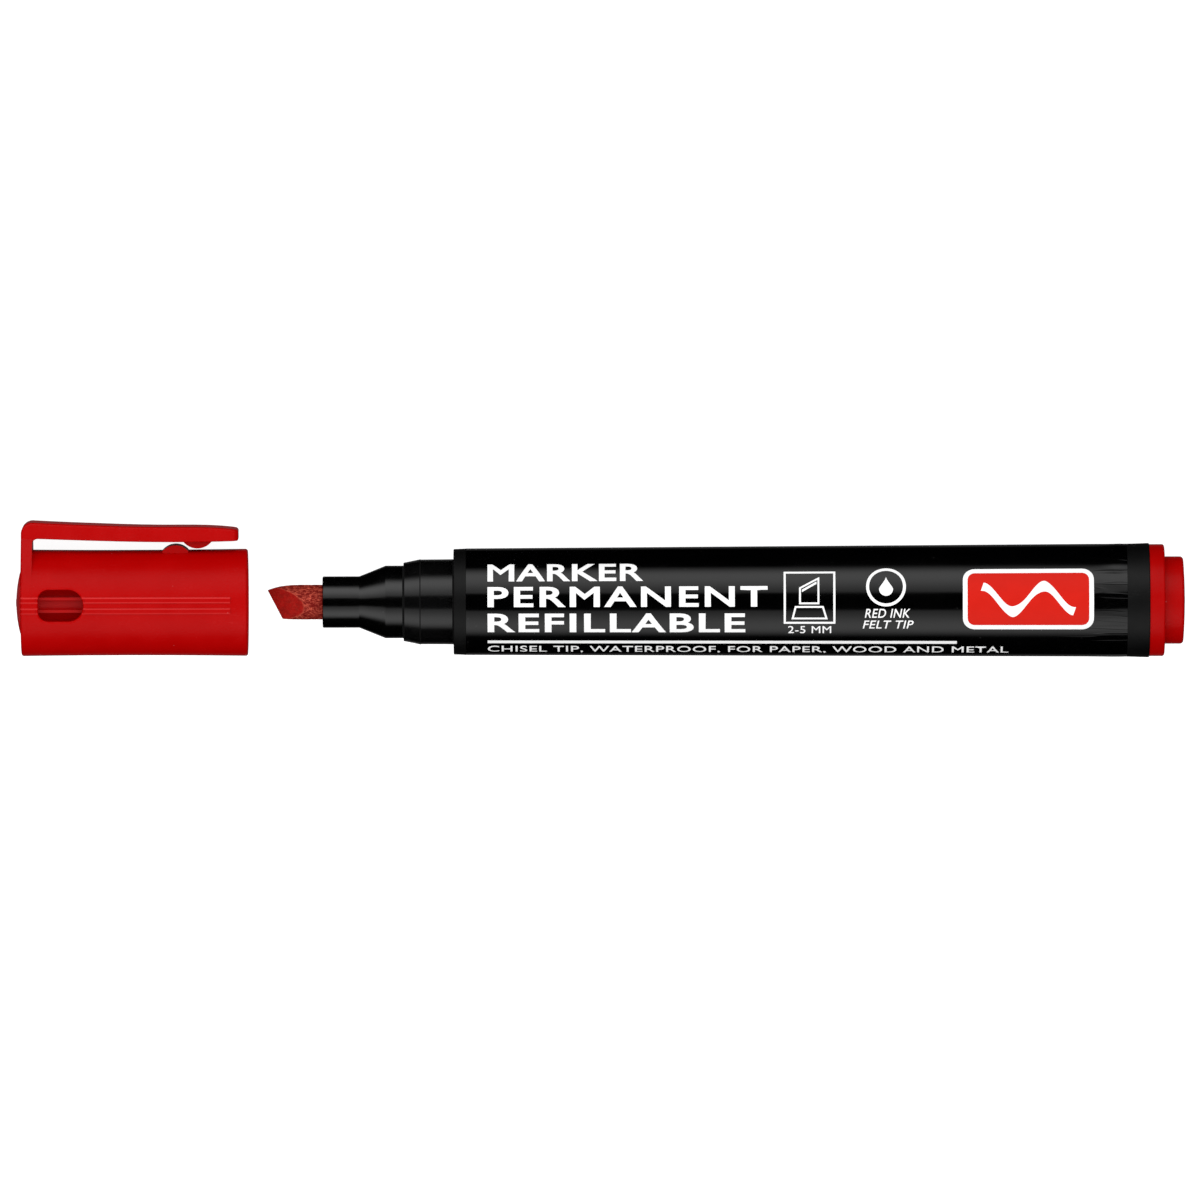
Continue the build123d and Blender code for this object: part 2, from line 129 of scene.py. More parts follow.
class Graph:
    """Adds nodes to one node tree, with their inputs set or linked."""

    def __init__(self, tree: bpy.types.NodeTree) -> None:
        """Keeps the tree that the nodes go into."""
        self.tree = tree

    def add(self, kind: str, inputs: dict[Any, Any] | None = None, **settings: Any) -> bpy.types.Node:
        """Adds one node.

        Args:
            kind: the node's type, without its "ShaderNode" prefix.
            inputs: for each input's name or number, a value, or a socket to link to it.
            settings: attributes of the node itself.

        Returns:
            The new node.
        """
        node = self.tree.nodes.new("ShaderNode" + kind)
        for name, value in settings.items():
            setattr(node, name, value)
        for key, value in (inputs or {}).items():
            if isinstance(value, bpy.types.NodeSocket):
                self.tree.links.new(value, node.inputs[key])
            else:
                node.inputs[key].default_value = value
        return node

    def link(self, socket: Socket, node: bpy.types.Node, name: str) -> None:
        """Links a socket to one input of a node."""
        self.tree.links.new(socket, node.inputs[name])

    def math(self, operation: str, a: Any, b: Any = 0.0, c: Any = None, clamp: bool = False) -> Socket:
        """The result of one sum on two or three values or sockets."""
        inputs = {0: a, 1: b} if c is None else {0: a, 1: b, 2: c}
        return self.add("Math", inputs, operation=operation, use_clamp=clamp).outputs[0]

    def distance(self, a: Any, b: Any) -> Socket:
        """How far apart two values or sockets are."""
        return self.math("ABSOLUTE", self.math("SUBTRACT", a, b))

    def noise(self, vector: Socket, scale: Any, detail: float) -> Socket:
        """The value of a noise at a vector."""
        return self.add("TexNoise", {"Vector": vector, "Scale": scale, "Detail": detail}).outputs[0]

    def bump(self, shader: bpy.types.Node, height: Socket, depth: float, strength: float = 1.0) -> None:
        """Gives a shader the relief of a height, which is depth metres at 1."""
        relief = self.add("Bump", {"Height": height, "Distance": depth, "Strength": strength})
        self.link(relief.outputs[0], shader, "Normal")

    def ramp(self, value: Any, low: float, high: float, to_low: float = 0.0, to_high: float = 1.0) -> Socket:
        """A smooth step of a value from low to high.

        Args:
            value: the socket that is stepped.
            low: where the step starts.
            high: where the step ends.
            to_low: what comes out below low.
            to_high: what comes out above high.

        Returns:
            The stepped socket.
        """
        inputs = {0: value, 1: low, 2: high, 3: to_low, 4: to_high}
        return self.add("MapRange", inputs, interpolation_type="SMOOTHSTEP").outputs[0]

    def blend(self, factor: Any, a: Any, b: Any) -> Socket:
        """The colour between a and b by a factor."""
        node = self.add("Mix", {0: factor}, data_type="RGBA")
        for number, value in ((6, a), (7, b)):
            if isinstance(value, bpy.types.NodeSocket):
                self.tree.links.new(value, node.inputs[number])
            else:
                node.inputs[number].default_value = (*value, 1.0)
        return node.outputs[2]


class Effects:
    """The effects that several finishes share, each one node group that is built once."""

    def __init__(self) -> None:
        """Builds every group."""
        self.grain = self._moulding_grain()
        self.wear = self._handling_wear()
        self.dust = self._dust()
        self.streaks = self._fibre_streaks()

    @staticmethod
    def _start(name: str, values: dict[str, float], outputs: tuple[str, ...]) -> tuple[Graph, Any, Any]:
        """Starts a group with a Vector input, number inputs and number outputs.

        Args:
            name: the group's name.
            values: its number inputs, each with its usual value.
            outputs: the names of its outputs.

        Returns:
            Its graph, its input node's sockets and its output node.
        """
        tree = bpy.data.node_groups.new(name, "ShaderNodeTree")
        tree.interface.new_socket("Vector", in_out="INPUT", socket_type="NodeSocketVector")
        for label, value in values.items():
            socket = tree.interface.new_socket(label, in_out="INPUT", socket_type="NodeSocketFloat")
            socket.default_value = value
        for label in outputs:
            tree.interface.new_socket(label, in_out="OUTPUT", socket_type="NodeSocketFloat")
        return Graph(tree), tree.nodes.new("NodeGroupInput").outputs, tree.nodes.new("NodeGroupOutput")

    def _moulding_grain(self) -> bpy.types.NodeTree:
        """The fine texture of a moulded surface, over a broad and faint unevenness of its tone."""
        graph, given, out = self._start("moulding_grain", {"Scale": 4000.0}, ("Height", "Tone"))
        broad = graph.noise(given["Vector"], graph.math("MULTIPLY", given["Scale"], 0.06), 2.0)
        graph.link(graph.noise(given["Vector"], given["Scale"], 3.0), out, "Height")
        graph.link(graph.ramp(broad, 0.3, 0.7), out, "Tone")
        return graph.tree

    def _handling_wear(self) -> bpy.types.NodeTree:
        """Thin scratches in two directions, kept to patches that are handled more than the rest."""
        graph, given, out = self._start("handling_wear", {"Scale": 300.0, "Amount": 0.5}, ("Mask",))
        lines = []
        for turn, stretch in ((0.35, 14.0), (-0.8, 22.0)):
            settings = {"Rotation": (turn, turn * 0.6, turn), "Scale": (1.0, stretch, stretch)}
            turned = graph.add("Mapping", {"Vector": given["Vector"], **settings}).outputs[0]
            off_middle = graph.distance(graph.noise(turned, given["Scale"], 1.0), 0.5)
            lines.append(graph.ramp(off_middle, 0.0, 0.006, 1.0, 0.0))
        patches = graph.noise(given["Vector"], graph.math("MULTIPLY", given["Scale"], 0.8), 2.0)
        kept = graph.math("MULTIPLY", graph.math("MAXIMUM", *lines), graph.ramp(patches, 0.5, 0.68))
        graph.link(graph.math("MULTIPLY", kept, given["Amount"]), out, "Mask")
        return graph.tree

    def _dust(self) -> bpy.types.NodeTree:
        """Sparse small specks of dust."""
        graph, given, out = self._start("dust_specks", {"Scale": 900.0, "Amount": 0.3}, ("Mask",))
        cells = graph.add("TexVoronoi", {"Vector": given["Vector"], "Scale": given["Scale"]})
        speck = graph.ramp(cells.outputs["Distance"], 0.06, 0.12, 1.0, 0.0)
        choice = graph.add("SeparateColor", {0: cells.outputs["Color"]})
        chosen = graph.ramp(choice.outputs[0], 0.86, 0.9)
        mask = graph.math("MULTIPLY", graph.math("MULTIPLY", speck, chosen), given["Amount"])
        graph.link(mask, out, "Mask")
        return graph.tree

    def _fibre_streaks(self) -> bpy.types.NodeTree:
        """Fine fibres that run along X, a little wavy."""
        values = {"Along": 250.0, "Across": 5000.0}
        graph, given, out = self._start("fibre_streaks", values, ("Height", "Tone", "Threads"))
        sway = graph.add("TexNoise", {"Vector": given["Vector"], "Scale": given["Along"], "Detail": 2.0})
        swayed = graph.add("VectorMath", {0: sway.outputs["Color"], 3: 0.00045}, operation="SCALE")
        shifted = graph.add("VectorMath", {0: given["Vector"], 1: swayed.outputs[0]}, operation="ADD")
        moved = shifted.outputs[0]
        ratio = graph.math("DIVIDE", given["Along"], given["Across"])
        squeeze = graph.add("CombineXYZ", {0: ratio, 1: 1.0, 2: 1.0}).outputs[0]
        stretched = graph.add("VectorMath", {0: moved, 1: squeeze}, operation="MULTIPLY").outputs[0]
        threads = graph.noise(stretched, given["Across"], 3.0)
        graph.link(threads, out, "Height")
        graph.link(graph.ramp(threads, 0.36, 0.64), out, "Tone")
        graph.link(graph.ramp(graph.distance(threads, 0.52), 0.0, 0.035, 1.0, 0.0), out, "Threads")
        return graph.tree


def new_material(name: str) -> tuple[bpy.types.Material, Graph, bpy.types.Node]:
    """Starts a material.

    Args:
        name: the material's name.

    Returns:
        The material, its graph and its Principled shader.
    """
    material = bpy.data.materials.new(name)
    material.use_nodes = True
    material.node_tree.nodes.clear()
    graph = Graph(material.node_tree)
    shader = graph.add("BsdfPrincipled")
    graph.add("OutputMaterial", {"Surface": shader.outputs[0]})
    return material, graph, shader


def tinted(color: Color, factor: float, grey: float = 0.0) -> Color:
    """A colour made lighter or darker by a factor, with some grey added."""
    return tuple(min(1.0, channel * factor + grey) for channel in color)


# ---------------------------------------------------------------------------------------------
# Finishes
# ---------------------------------------------------------------------------------------------


@dataclass(frozen=True)
class PlasticFinish:
    """A moulded plastic or a glossy film: its colour and gloss, fine grain, scratches and dust."""

    name: str
    color: Color
    roughness: float
    specular: float = 0.5
    grain_scale: float = 4500.0
    grain_height: float = 0.004 * MM
    tone_depth: float = 0.1
    wear: float = 0.5
    dust: float = 0.25
    glow: float = 0.0

    def _special(
        self, graph: Graph, where: Socket, color: Socket, roughness: Socket, shader: bpy.types.Node
    ) -> tuple[Socket, Socket]:
        """Adds what only one moulding has, such as painted highlights on ribs or a polished end.

        Args:
            graph: the material's graph.
            where: the Object coordinates.
            color: the colour so far.
            roughness: the roughness so far.
            shader: the material's shader.

        Returns:
            The colour and the roughness.
        """
        return color, roughness

    def _relief(self, graph: Graph, where: Socket, height: Socket) -> Socket:
        """Adds the relief that only one finish has to the height, in multiples of the grain's height."""
        return height

    def build(self, effects: Effects) -> bpy.types.Material:
        """Makes the material.

        Args:
            effects: the shared node groups.

        Returns:
            The finished material.
        """
        material, graph, shader = new_material(self.name)
        where = graph.add("TexCoord").outputs["Object"]
        grain = graph.add(
            "Group", {"Vector": where, "Scale": self.grain_scale}, node_tree=effects.grain
        ).outputs
        wear = graph.add(
            "Group", {"Vector": where, "Amount": self.wear}, node_tree=effects.wear
        ).outputs["Mask"]
        dust = graph.add(
            "Group", {"Vector": where, "Amount": self.dust}, node_tree=effects.dust
        ).outputs["Mask"]
        body = graph.blend(grain["Tone"], tinted(self.color, 1.0 - self.tone_depth), self.color)
        wear_and_painted_highlight = graph.blend(wear, body, tinted(self.color, 1.12, 0.012))
        dusty = graph.blend(dust, wear_and_painted_highlight, tinted(self.color, 0.8, 0.16))
        even = graph.math("MULTIPLY_ADD", grain["Tone"], 0.06, self.roughness - 0.03)
        scuffed = graph.math("ADD", even, graph.math("MULTIPLY", wear, 0.22))
        matt = graph.math("ADD", scuffed, graph.math("MULTIPLY", dust, 0.4), clamp=True)
        color, roughness = self._special(graph, where, dusty, matt, shader)
        graph.link(color, shader, "Base Color")
        graph.link(roughness, shader, "Roughness")
        height = graph.math("SUBTRACT", grain["Height"], graph.math("MULTIPLY", wear, 0.7))
        graph.bump(shader, self._relief(graph, where, height), self.grain_height)
        shader.inputs["Specular IOR Level"].default_value = self.specular
        if self.glow:
            shader.inputs["Emission Color"].default_value = (*self.color, 1.0)
            shader.inputs["Emission Strength"].default_value = self.glow
        return material


@dataclass(frozen=True)
class TurnedFinish(PlasticFinish):
    """A turned black moulding: polished in front of a station, with dark seams round it."""

    polished_before: float = -1.0
    polished_roughness: float = 0.16
    polished_coat: float = 0.9
    coat_roughness: float = 0.14
    seams: tuple[tuple[float, float], ...] = ()

    def _special(
        self, graph: Graph, where: Socket, color: Socket, roughness: Socket, shader: bpy.types.Node
    ) -> tuple[Socket, Socket]:
        """Polishes the front and dulls the seams.

        Args:
            graph: the material's graph.
            where: the Object coordinates.
            color: the colour so far.
            roughness: the roughness so far.
            shader: the material's shader.

        Returns:
            The colour and the roughness.
        """
        along = graph.add("SeparateXYZ", {0: where}).outputs[0]
        polish = graph.ramp(along, self.polished_before - 0.05 * MM, self.polished_before, 1.0, 0.0)
        gloss = graph.math("MULTIPLY", roughness, self.polished_roughness / self.roughness)
        rough = graph.add("Mix", {0: polish, 2: roughness, 3: gloss}, data_type="FLOAT").outputs[0]
        coat = graph.math("MULTIPLY", polish, self.polished_coat)
        for x, width in self.seams:
            seam = graph.ramp(graph.distance(along, x), 0.35 * width, 0.65 * width, 1.0, 0.0)
            rough = graph.math("MAXIMUM", rough, seam)
            coat = graph.math("MULTIPLY", coat, graph.math("SUBTRACT", 1.0, seam))
        graph.link(coat, shader, "Coat Weight")
        shader.inputs["Coat Roughness"].default_value = self.coat_roughness
        return color, rough


@dataclass(frozen=True)
class FilmFinish(PlasticFinish):
    """A glossy printed film with thin shrinkage creases along its rear end."""

    crease_start: float = 0.0
    crease_end: float = 1.0
    crease_height: float = 5.0

    def _relief(self, graph: Graph, where: Socket, height: Socket) -> Socket:
        """Adds the creases, which run along X, to the height."""
        stretched = graph.add("VectorMath", {0: where, 1: (0.09, 1.0, 1.0)}, operation="MULTIPLY").outputs[0]
        off_fold = graph.distance(graph.noise(stretched, 620.0, 1.0), 0.5)
        crease = graph.ramp(off_fold, 0.0, 0.03, 1.0, 0.0)
        along = graph.add("SeparateXYZ", {0: where}).outputs[0]
        drawn = graph.math("MULTIPLY", crease, graph.ramp(along, self.crease_start, self.crease_end))
        return graph.math("ADD", height, graph.math("MULTIPLY", drawn, self.crease_height))


@dataclass(frozen=True)
class RibbedFinish(PlasticFinish):
    """The cap's plastic: painted highlights along the edges of its side ribs, and a faint painted glow inside.
    """

    lie: Lie | None = None
    rib_middle: float = 0.78
    rib_half: float = 0.34
    rib_end: float = 30.1
    line: float = 0.1
    inner_radius: float = 6.7
    inner_glow: float = 0.1
    # The colour of the painted highlights along the rib edges.
    wear_and_painted_highlight: Color = (0.66, 0.035, 0.035)

    def _special(
        self, graph: Graph, where: Socket, color: Socket, roughness: Socket, shader: bpy.types.Node
    ) -> tuple[Socket, Socket]:
        """Paints highlights along the edges of the ribs and paints a glow inside.

        Args:
            graph: the material's graph.
            where: the Object coordinates.
            color: the colour so far.
            roughness: the roughness so far.
            shader: the material's shader.

        Returns:
            The colour and the roughness.
        """
        upright = self.lie.place().inverted()
        settings = {"Location": tuple(upright.to_translation()), "Rotation": (self.lie.clip_roll, 0.0, 0.0)}
        turned = graph.add("Mapping", {"Vector": where, **settings}).outputs[0]
        x, y, z = graph.add("SeparateXYZ", {0: turned}).outputs
        lines = None
        # Painted highlights: thin lighter lines along the rib edges, stronger on the upper edges where light
        # catches them.
        for height, strength in (
            (self.rib_middle + self.rib_half, 0.9),
            (self.rib_middle - self.rib_half, 0.6),
            (-self.rib_middle + self.rib_half, 0.7),
            (-self.rib_middle - self.rib_half, 0.4),
        ):
            off = graph.distance(z, height * MM)
            one = graph.ramp(off, 0.3 * self.line * MM, 1.6 * self.line * MM, strength, 0.0)
            lines = one if lines is None else graph.math("MAXIMUM", lines, one)
        end = self.lie.cap_x + self.rib_end * MM
        lines = graph.math("MULTIPLY", lines, graph.ramp(x, end - 0.1 * MM, end, 1.0, 0.0))
        side = graph.ramp(graph.math("ABSOLUTE", y), 7.3 * MM, 7.45 * MM)
        wear_and_painted_highlight = graph.blend(graph.math("MULTIPLY", lines, side), color, self.wear_and_painted_highlight)
        # Painted glow: the inside of the cap emits a little of its own red, standing in for light through the
        # translucent plastic.
        radius = graph.math("SQRT", graph.math("MULTIPLY_ADD", y, y, graph.math("MULTIPLY", z, z)))
        inside = graph.ramp(radius, (self.inner_radius - 0.2) * MM, self.inner_radius * MM, 1.0, 0.0)
        glow = graph.blend(inside, (0.0, 0.0, 0.0), self.color)
        graph.link(glow, shader, "Emission Color")
        shader.inputs["Emission Strength"].default_value = self.inner_glow
        return wear_and_painted_highlight, roughness


@dataclass(frozen=True)
class FeltFinish:
    """Ink-soaked felt: deep smooth red where it is cut, and wavy fibres where it is pressed, with a painted
    sheen of pale colour on them.
    """

    name: str
    deep: Color
    pale: Color
    cut: Color
    roughness: float = 0.62

    def build(self, effects: Effects) -> bpy.types.Material:
        """Makes the material, which reads the nib's own fibre and cut attributes.

        Args:
            effects: the shared node groups.

        Returns:
            The finished material.
        """
        material, graph, shader = new_material(self.name)
        where = graph.add("TexCoord").outputs["Object"]
        fibre, cut, rim = (
            graph.add("Attribute", attribute_name=name).outputs["Fac"] for name in ("fibre", "cut", "rim")
        )
        sizes = {"Vector": where, "Along": 1100.0, "Across": 4200.0}
        streaks = graph.add("Group", sizes, node_tree=effects.streaks).outputs
        # Painted sheen: the pale colour on the fibre ridges, on the faint threads of the cut face and along the
        # rim of the cut stands in for the sheen of wet felt.
        tufts = graph.math("MULTIPLY", graph.ramp(fibre, 0.45, 0.85), 0.45)
        threads = graph.math("MULTIPLY", streaks["Threads"], graph.ramp(fibre, 0.05, 0.5, 0.35, 1.0))
        skin = graph.blend(graph.math("MAXIMUM", tufts, threads), self.deep, self.pale)
        patches = graph.noise(where, 1400.0, 2.0)
        face = graph.blend(graph.ramp(patches, 0.35, 0.7), self.cut, tinted(self.cut, 1.4))
        combed = graph.blend(graph.math("MULTIPLY", streaks["Threads"], 0.12), face, self.pale)
        joined = graph.blend(cut, skin, combed)
        graph.link(graph.blend(graph.math("MULTIPLY", rim, 0.25), joined, self.pale), shader, "Base Color")
        graph.link(graph.math("MULTIPLY_ADD", fibre, -0.25, self.roughness + 0.12), shader, "Roughness")
        fuzz = graph.math("MULTIPLY", graph.noise(where, 9000.0, 2.0), 0.5)
        graph.bump(shader, graph.math("ADD", streaks["Height"], fuzz), 0.03 * MM, 0.8)
        shader.inputs["Specular IOR Level"].default_value = 0.12
        return material


@dataclass(frozen=True)
class FibreFinish:
    """A bundle of fibres along X, with a darker and a lighter thread colour."""

    name: str
    dark: Color
    light: Color
    roughness: float = 0.7

    def build(self, effects: Effects) -> bpy.types.Material:
        """Makes the material.

        Args:
            effects: the shared node groups.

        Returns:
            The finished material.
        """
        material, graph, shader = new_material(self.name)
        where = graph.add("TexCoord").outputs["Object"]
        streaks = graph.add("Group", {"Vector": where}, node_tree=effects.streaks).outputs
        soak = graph.ramp(graph.noise(where, 160.0, 2.0), 0.4, 0.7, 0.0, 0.5)
        threads = graph.blend(streaks["Tone"], self.dark, self.light)
        graph.link(graph.blend(soak, threads, self.dark), shader, "Base Color")
        roughness = graph.math("MULTIPLY_ADD", streaks["Tone"], 0.1, self.roughness - 0.05)
        graph.link(roughness, shader, "Roughness")
        graph.bump(shader, streaks["Height"], 0.04 * MM)
        return material


@dataclass(frozen=True)
class PrintFinish:
    """Screen-printed ink: nearly even, with the faint mottle of a thin printed layer."""

    name: str
    color: Color
    roughness: float = 0.45

    def build(self, effects: Effects) -> bpy.types.Material:
        """Makes the material.

        Args:
            effects: the shared node groups.

        Returns:
            The finished material.
        """
        material, graph, shader = new_material(self.name)
        where = graph.add("TexCoord").outputs["Object"]
        grain = graph.add("Group", {"Vector": where, "Scale": 7000.0}, node_tree=effects.grain).outputs
        wear = graph.add("Group", {"Vector": where, "Amount": 0.35}, node_tree=effects.wear).outputs["Mask"]
        ink = graph.blend(grain["Tone"], tinted(self.color, 0.96), self.color)
        graph.link(graph.blend(wear, ink, tinted(self.color, 0.72)), shader, "Base Color")
        roughness = graph.math("MULTIPLY_ADD", grain["Tone"], 0.08, self.roughness - 0.04)
        graph.link(roughness, shader, "Roughness")
        graph.bump(shader, grain["Height"], 0.003 * MM)
        shader.inputs["Specular IOR Level"].default_value = 0.1
        return material


class Finishes:
    """Every material of the marker, made once."""

    def __init__(self, lie: Lie) -> None:
        """Builds the shared effects and the materials.

        Args:
            lie: how the marker lies.
        """
        effects = Effects()
        self.barrel = TurnedFinish(
            "barrel_matt_black", (0.0025, 0.0025, 0.0026), 0.48, specular=0.36,
            grain_height=0.009 * MM, grain_scale=5200.0, wear=0.7, polished_before=lie.shoulder_x,
            seams=(
                (lie.along(-7.12), 0.2 * MM), (lie.along(-4.78), 0.14 * MM), (lie.along(-0.08), 0.16 * MM),
            ),
        ).build(effects)
        self.film = FilmFinish(
            "label_gloss_black", (0.0003, 0.0003, 0.0004), 0.13, specular=0.72,
            grain_height=0.0022 * MM, grain_scale=900.0, wear=0.35, dust=0.12,
            crease_start=lie.along(84.0), crease_end=lie.along(95.0),
        ).build(effects)
        self.holder = TurnedFinish(
            "holder_black", (0.0005, 0.0005, 0.0005), 0.15, specular=0.95,
            grain_height=0.002 * MM, grain_scale=3000.0, wear=0.4, seams=((lie.along(-7.25), 0.16 * MM),),
        ).build(effects)
        self.cap = RibbedFinish(
            "cap_satin_red", (0.455, 0.0002, 0.0003), 0.25, specular=0.09,
            grain_height=0.005 * MM, tone_depth=0.05, lie=lie,
        ).build(effects)
        # The inner cap's glow is painted light: a faint emission all over, standing in for light through the
        # translucent plastic.
        self.inner_cap = PlasticFinish(
            "inner_cap_red", (0.45, 0.0003, 0.0006), 0.3, specular=0.2, tone_depth=0.08, glow=0.09
        ).build(effects)
        self.plug = PlasticFinish(
            "plug_satin_red", (0.41, 0.0006, 0.0006), 0.25, specular=0.08,
            grain_height=0.005 * MM, tone_depth=0.07,
        ).build(effects)
        self.wrap = PlasticFinish(
            "reservoir_film", (0.62, 0.3, 0.29), 0.25, grain_scale=1200.0, tone_depth=0.3, wear=0.3
        ).build(effects)
        self.felt = FeltFinish(
            "nib_felt", deep=(0.17, 0.003, 0.001), pale=(0.74, 0.12, 0.07), cut=(0.27, 0.003, 0.0015)
        ).build(effects)
        self.fibre = FibreFinish("reservoir_fibre", (0.2, 0.006, 0.006), (0.5, 0.05, 0.05)).build(effects)
        self.white_print = PrintFinish("print_white", (0.96, 0.96, 0.96)).build(effects)
        self.red_print = PrintFinish("print_red", (0.64, 0.011, 0.004), 0.4).build(effects)


# ---------------------------------------------------------------------------------------------
# Mesh tools
# ---------------------------------------------------------------------------------------------


def all_geometry(bm: bmesh.types.BMesh) -> list[Any]:
    """Every vertex, edge and face of a bmesh."""
    return [*bm.verts, *bm.edges, *bm.faces]


def new_object(name: str, data: Any) -> bpy.types.Object:
    """A new object of the scene."""
    thing = bpy.data.objects.new(name, data)
    bpy.context.scene.collection.objects.link(thing)
    return thing


def as_mesh(carrier: bpy.types.Object) -> bmesh.types.BMesh:
    """The shape that an object's modifiers or letters give it. The object itself is removed."""
    bpy.context.view_layer.update()
    shape = carrier.evaluated_get(bpy.context.evaluated_depsgraph_get())
    bm = bmesh.new()
    bm.from_mesh(bpy.data.meshes.new_from_object(shape))
    bpy.data.objects.remove(carrier)
    return bm


def facing(x: Vector, y: Vector, z: Vector) -> Matrix:
    """The turn that takes the three axes to three directions."""
    return Matrix((x, y, z)).transposed().to_4x4()


def finish_piece(
    name: str, bm: bmesh.types.BMesh, material: bpy.types.Material, body: Body,
    smooth_angle: float = math.radians(35.0),
) -> bpy.types.Object:
    """Makes a finished piece of a bmesh, with its place in its mesh, and lets it ride on its body.

    Args:
        name: the piece's name.
        bm: the shape in the row frame, which is used up.
        material: its material.
        body: the body that it moves with.
        smooth_angle: edges sharper than this stay sharp.

    Returns:
        The new object.
    """
    for face in bm.faces:
        face.smooth = True
    for edge in bm.edges:
        edge.smooth = not (len(edge.link_faces) == 2 and edge.calc_face_angle(0.0) > smooth_angle)
    mesh = bpy.data.meshes.new(name)
    bm.to_mesh(mesh)
    bm.free()
    mesh.materials.append(material)
    piece = new_object(name, mesh)
    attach(piece, body.value)
    log.info("%s: %d faces, rides on %s", name, len(mesh.polygons), body.value)
    return piece


def dress_node(name: str, material: bpy.types.Material) -> None:
    """Gives a CAD node a new material."""
    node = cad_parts[name]
    node.data.materials.clear()
    node.data.materials.append(material)
    log.info("%s: CAD node dressed in %s", name, material.name)


def merged_copy(node: str) -> bmesh.types.BMesh:
    """A copy of a CAD node's mesh with its loose triangles merged."""
    bm = bmesh.new()
    bm.from_mesh(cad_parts[node].data)
    bmesh.ops.remove_doubles(bm, verts=bm.verts, dist=0.002 * MM)
    return bm


def slice_across(bm: bmesh.types.BMesh, axis: int, pitch: float) -> None:
    """Cuts a mesh with even planes across one axis.

    Args:
        bm: the mesh.
        axis: 0, 1 or 2.
        pitch: the distance between the planes.
    """
    heights = [vertex.co[axis] for vertex in bm.verts]
    normal = Vector([float(axis == number) for number in range(3)])
    first = math.ceil(min(heights) / pitch + 0.001)
    last = math.floor(max(heights) / pitch - 0.001)
    for number in range(first, last + 1):
        bmesh.ops.bisect_plane(
            bm, geom=all_geometry(bm), plane_co=normal * (number * pitch), plane_no=normal, dist=0.0005 * MM
        )


def thicken(bm: bmesh.types.BMesh, amount: float) -> None:
    """Moves the outline of flat shapes outwards and keeps its corners.

    Args:
        bm: the flat shapes.
        amount: how far the outline moves.
    """
    moves = {}
    for vertex in bm.verts:
        sides = []
        for edge in vertex.link_edges:
            if edge.is_boundary:
                first, second = (corner.co for corner in edge.verts)
                side = (second - first).cross(Vector((0.0, 0.0, 1.0))).normalized()
                inward = edge.link_faces[0].calc_center_median() - first
                sides.append(-side if side.dot(inward) > 0.0 else side)
        if len(sides) == 2:
            moves[vertex] = (sides[0] + sides[1]) * (amount / max(0.3, 1.0 + sides[0].dot(sides[1])))
    for vertex, move in moves.items():
        vertex.co += move


def spun(profile: list[tuple[float, float]], steps: int, lie: Lie) -> bmesh.types.BMesh:
    """A ring turned from a closed outline round the marker's axis.

    Args:
        profile: (X, radius) points of the outline, in metres.
        steps: how many faces go round.
        lie: how the marker lies.

    Returns:
        The ring in the row frame, with its faces outwards.
    """
    bm = bmesh.new()
    corners = [bm.verts.new((x, 0.0, radius)) for x, radius in profile]
    edges = [bm.edges.new((corners[i], corners[(i + 1) % len(corners)])) for i in range(len(corners))]
    bmesh.ops.spin(
        bm, geom=[*corners, *edges], cent=(0, 0, 0), axis=(1, 0, 0), angle=FULL_TURN, steps=steps,
        use_merge=True, use_normal_flip=False, use_duplicate=False,
    )
    bmesh.ops.remove_doubles(bm, verts=bm.verts, dist=0.0001 * MM)
    bmesh.ops.recalc_face_normals(bm, faces=bm.faces)
    bm.transform(lie.place())
    return bm


# ---------------------------------------------------------------------------------------------
# Nose: nib holder and felt nib
# ---------------------------------------------------------------------------------------------


